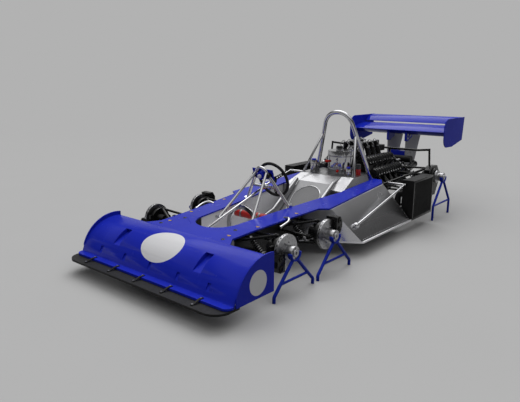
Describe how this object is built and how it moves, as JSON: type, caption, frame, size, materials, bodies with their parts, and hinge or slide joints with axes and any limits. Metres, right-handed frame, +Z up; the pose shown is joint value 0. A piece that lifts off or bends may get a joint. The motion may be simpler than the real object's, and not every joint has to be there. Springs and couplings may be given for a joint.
{
  "type": "open wheel racing car on hub stands",
  "caption": "Low open wheel racing car with a wide wedge nose, small front axles in tandem, bare engine and rear wing, standing without wheels on hub stands.",
  "frame": {"origin": "on the floor below the middle of the overall length, on the centre plane", "axes": "+X forward, +Y to the driver's left, +Z up"},
  "size_m": [4.068, 1.486, 1.048],
  "materials": {
    "blue_paint": "gloss",
    "stand_blue": "gloss",
    "black_metal": "satin",
    "black_plastic": "matte",
    "chrome": "polished",
    "polished_metal": "polished",
    "sheet_aluminium": "satin",
    "black_leather": "matte",
    "red_paint": "gloss",
    "grey_paint": "satin"
  },
  "bodies": {
    "car": {"anti_roll_bar": "black_metal", "cockpit_rails": "blue_paint", "cylinder_heads": "black_metal", "dash_panel": "blue_paint", "driveshafts": "black_metal", "engine_block": "black_metal", "engine_boxes": "black_metal", "exhausts": "black_metal", "fire_bottles": "red_paint", "front_bulkhead": "sheet_aluminium", "front_dampers": "black_metal", "front_hoop": "chrome", "front_wishbones": "black_metal", "gearbox": "black_metal", "hoop_stays": "chrome", "inlet_trumpets": "polished_metal", "main_hoop": "chrome", "nose_endplates": "blue_paint", "nose_shell": "blue_paint", "oil_tank": "polished_metal", "pedals": "black_metal", "radiator_hoses": "black_metal", "radiator_stays": "chrome", "radiators": "black_metal", "rear_dampers": "black_metal", "rear_links": "black_metal", "rear_stands": "stand_blue", "rear_uprights": "black_metal", "scuttle_arch": "sheet_aluminium", "seat": "sheet_aluminium", "splitter": "black_plastic", "splitter_stays": "black_plastic", "tank_cover": "sheet_aluminium", "tub_floor": "sheet_aluminium", "tub_side_left": "sheet_aluminium", "tub_side_right": "sheet_aluminium", "wing_endplates": "blue_paint", "wing_gussets": "blue_paint", "wing_mount": "blue_paint", "wing_planes": "blue_paint", "wing_pylons": "grey_paint"},
    "hub_1_left": {"hub_1_left": "polished_metal"},
    "hub_1_right": {"hub_1_right": "polished_metal"},
    "hub_2_left": {"hub_2_left": "polished_metal"},
    "hub_2_right": {"hub_2_right": "polished_metal"},
    "hub_rear_left": {"hub_rear_left": "polished_metal"},
    "hub_rear_right": {"hub_rear_right": "polished_metal"},
    "knuckle_1_left": {"stand_1_left": "stand_blue", "upright_1_left": "black_metal"},
    "knuckle_1_right": {"stand_1_right": "stand_blue", "upright_1_right": "black_metal"},
    "knuckle_2_left": {"stand_2_left": "stand_blue", "upright_2_left": "black_metal"},
    "knuckle_2_right": {"stand_2_right": "stand_blue", "upright_2_right": "black_metal"},
    "steering": {"steering_column": "chrome", "steering_wheel": "black_leather"},
    "rods_1": {"track_rods_1": "black_metal"},
    "rods_2": {"track_rods_2": "black_metal"}
  },
  "joints": [
    {"name": "steering_turn", "type": "hinge", "parent": "car", "child": "steering", "pos_m": [0.64795, 0, 0.542], "axis": [-0.9511, 0, 0.309], "range_deg": [-120, 120]},
    {"name": "knuckle_1_left_swing", "type": "hinge", "parent": "car", "child": "knuckle_1_left", "pos_m": [1.316, 0.556, 0.263], "axis": [0, 0, 1], "range_deg": [-15.5, 15.5]},
    {"name": "hub_1_left_spin", "type": "hinge", "parent": "knuckle_1_left", "child": "hub_1_left", "pos_m": [1.316, 0.716, 0.263], "axis": [0, 1, 0], "continuous": true},
    {"name": "knuckle_1_right_swing", "type": "hinge", "parent": "car", "child": "knuckle_1_right", "pos_m": [1.316, -0.556, 0.263], "axis": [0, 0, 1], "range_deg": [-15.5, 15.5]},
    {"name": "hub_1_right_spin", "type": "hinge", "parent": "knuckle_1_right", "child": "hub_1_right", "pos_m": [1.316, -0.716, 0.263], "axis": [0, 1, 0], "continuous": true},
    {"name": "rods_1_slide", "type": "slide", "parent": "car", "child": "rods_1", "axis": [0, 1, 0], "range_m": [-0.031, 0.031]},
    {"name": "knuckle_2_left_swing", "type": "hinge", "parent": "car", "child": "knuckle_2_left", "pos_m": [0.85, 0.556, 0.263], "axis": [0, 0, 1], "range_deg": [-15.5, 15.5]},
    {"name": "hub_2_left_spin", "type": "hinge", "parent": "knuckle_2_left", "child": "hub_2_left", "pos_m": [0.85, 0.716, 0.263], "axis": [0, 1, 0], "continuous": true},
    {"name": "knuckle_2_right_swing", "type": "hinge", "parent": "car", "child": "knuckle_2_right", "pos_m": [0.85, -0.556, 0.263], "axis": [0, 0, 1], "range_deg": [-15.5, 15.5]},
    {"name": "hub_2_right_spin", "type": "hinge", "parent": "knuckle_2_right", "child": "hub_2_right", "pos_m": [0.85, -0.716, 0.263], "axis": [0, 1, 0], "continuous": true},
    {"name": "rods_2_slide", "type": "slide", "parent": "car", "child": "rods_2", "axis": [0, 1, 0], "range_m": [-0.031, 0.031]},
    {"name": "hub_rear_left_spin", "type": "hinge", "parent": "car", "child": "hub_rear_left", "pos_m": [-1.137, 0.704, 0.395], "axis": [0, 1, 0], "continuous": true},
    {"name": "hub_rear_right_spin", "type": "hinge", "parent": "car", "child": "hub_rear_right", "pos_m": [-1.137, -0.704, 0.395], "axis": [0, 1, 0], "continuous": true}
  ],
  "couplings": [
    {"joint": "knuckle_1_left_swing", "follows": "steering_turn", "ratio": 0.125},
    {"joint": "knuckle_1_right_swing", "follows": "steering_turn", "ratio": 0.125},
    {"joint": "rods_1_slide", "follows": "steering_turn", "m_per_rad": -0.014211},
    {"joint": "knuckle_2_left_swing", "follows": "steering_turn", "ratio": 0.125},
    {"joint": "knuckle_2_right_swing", "follows": "steering_turn", "ratio": 0.125},
    {"joint": "rods_2_slide", "follows": "steering_turn", "m_per_rad": 0.014211}
  ]
}
